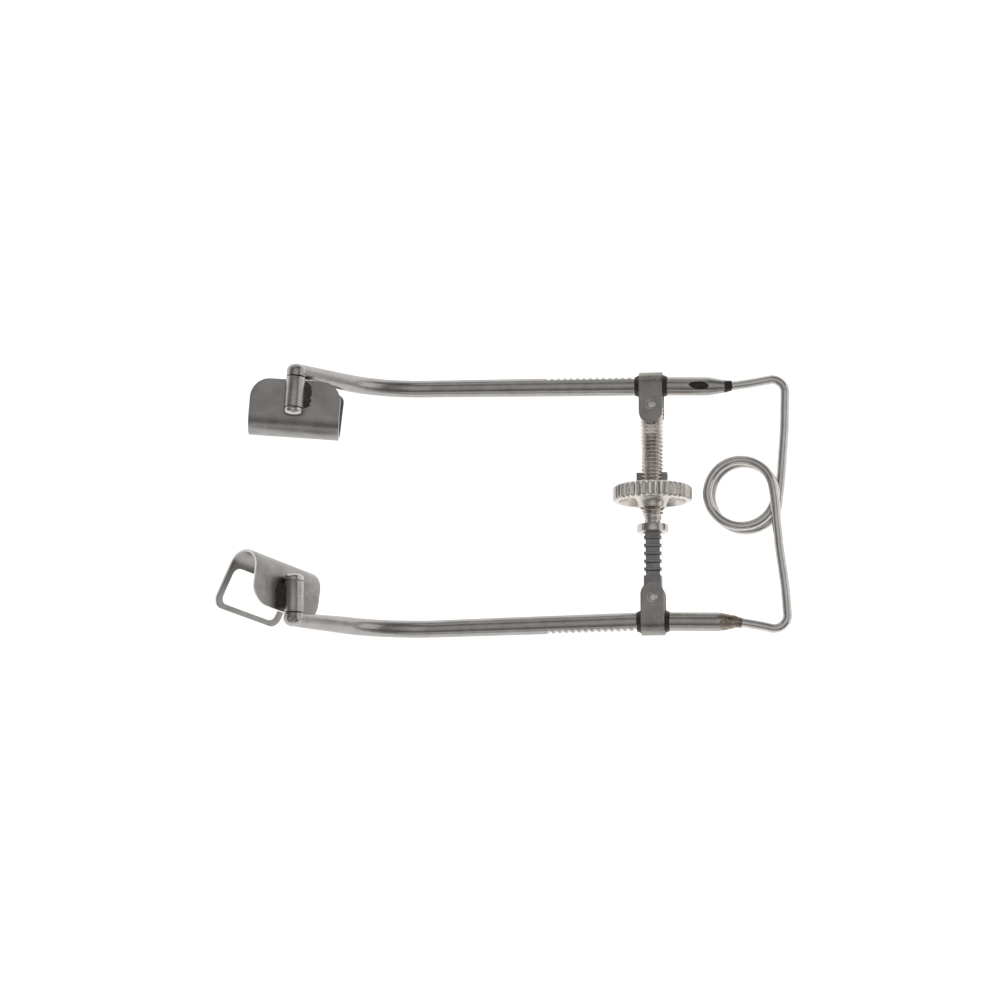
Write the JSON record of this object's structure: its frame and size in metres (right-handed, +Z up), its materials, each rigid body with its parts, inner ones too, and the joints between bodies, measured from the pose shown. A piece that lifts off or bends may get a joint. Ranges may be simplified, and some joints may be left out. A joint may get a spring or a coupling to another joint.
{
  "type": "cheek retractor",
  "caption": "Self-retaining cheek retractor: two sprung arms with swivelling hook blades, set apart by a thumb nut on a threaded cross rod.",
  "frame": {"origin": "centre of the footprint on the table the tool lies on", "axes": "+X from the blades towards the spring, +Y from the lower arm to the upper arm, +Z up from the table"},
  "size_m": [0.1214, 0.0568, 0.0252],
  "materials": {
    "arm_steel": "satin polished stainless steel",
    "polished_steel": "bright polished stainless steel",
    "strap_steel": "satin stainless steel, hand finished",
    "blade_steel": "bead blasted stainless steel with bright edges",
    "spring_steel": "drawn and polished spring wire",
    "thread_steel": "cut thread, warm silver",
    "nut_steel": "turned and knurled stainless steel",
    "dark_steel": "dull dark steel as filed",
    "braze": "blackened braze",
    "solder_plug": "dark solder filling",
    "heat_tinted_solder": "brown heat tinted solder"
  },
  "bodies": {
    "upper_frame": {"upper_arm": "arm_steel", "upper_pivot_pin": "polished_steel", "upper_pin_cap": "polished_steel", "upper_strap": "strap_steel", "upper_strap_braze": "braze", "upper_rivet": "strap_steel", "upper_wire_solder": "braze", "upper_solder_plug": "solder_plug", "spring_upper": "spring_steel"},
    "lower_frame": {"lower_arm": "arm_steel", "lower_pivot_pin": "polished_steel", "lower_pin_cap": "polished_steel", "lower_strap": "strap_steel", "lower_strap_braze": "braze", "lower_rivet": "strap_steel", "lower_wire_solder": "heat_tinted_solder", "spring_lower": "spring_steel"},
    "upper_hook": {"upper_blade_barrel": "polished_steel", "upper_blade": "blade_steel", "upper_barrel_braze": "braze"},
    "lower_hook": {"lower_blade_barrel": "polished_steel", "lower_blade": "blade_steel", "lower_barrel_braze": "braze"},
    "rod": {"threaded_rod": "thread_steel", "rod_collar": "thread_steel"},
    "bar": {"ratchet_bar": "dark_steel", "cross_key": "dark_steel"},
    "nut": {"thumb_nut": "nut_steel"}
  },
  "joints": [
    {"name": "arm_spread", "type": "hinge", "parent": "upper_frame", "child": "lower_frame", "pos_m": [0.05003, 0.00153, 0.01104], "axis": [-0.1352, 0, 0.9908], "range_deg": [-11, 10]},
    {"name": "rod_tilt", "type": "hinge", "parent": "upper_frame", "child": "rod", "pos_m": [0.03141, 0.0209, 0.0085], "axis": [-0.1352, 0, 0.9908], "range_deg": [-6.2, 5.7]},
    {"name": "bar_slide", "type": "slide", "parent": "rod", "child": "bar", "axis": [0, -1, 0], "range_m": [-0.0038, 0.0035]},
    {"name": "nut_spin", "type": "hinge", "parent": "bar", "child": "nut", "pos_m": [0.03141, 0, 0.0085], "axis": [0, -1, 0], "range_deg": [-1660, 1510]},
    {"name": "upper_blade_swivel", "type": "hinge", "parent": "upper_frame", "child": "upper_hook", "pos_m": [-0.04435, 0.02174, 0.01931], "axis": [0.0698, 0.9976, 0], "range_deg": [-15, 110]},
    {"name": "lower_blade_swivel", "type": "hinge", "parent": "lower_frame", "child": "lower_hook", "pos_m": [-0.04402, -0.02173, 0.01931], "axis": [0, 1, 0], "range_deg": [0, 110]}
  ],
  "couplings": [
    {"joint": "rod_tilt", "follows": "arm_spread", "ratio": 0.533},
    {"joint": "bar_slide", "follows": "arm_spread", "m_per_rad": 0.019},
    {"joint": "nut_spin", "follows": "arm_spread", "ratio": 149.2}
  ]
}
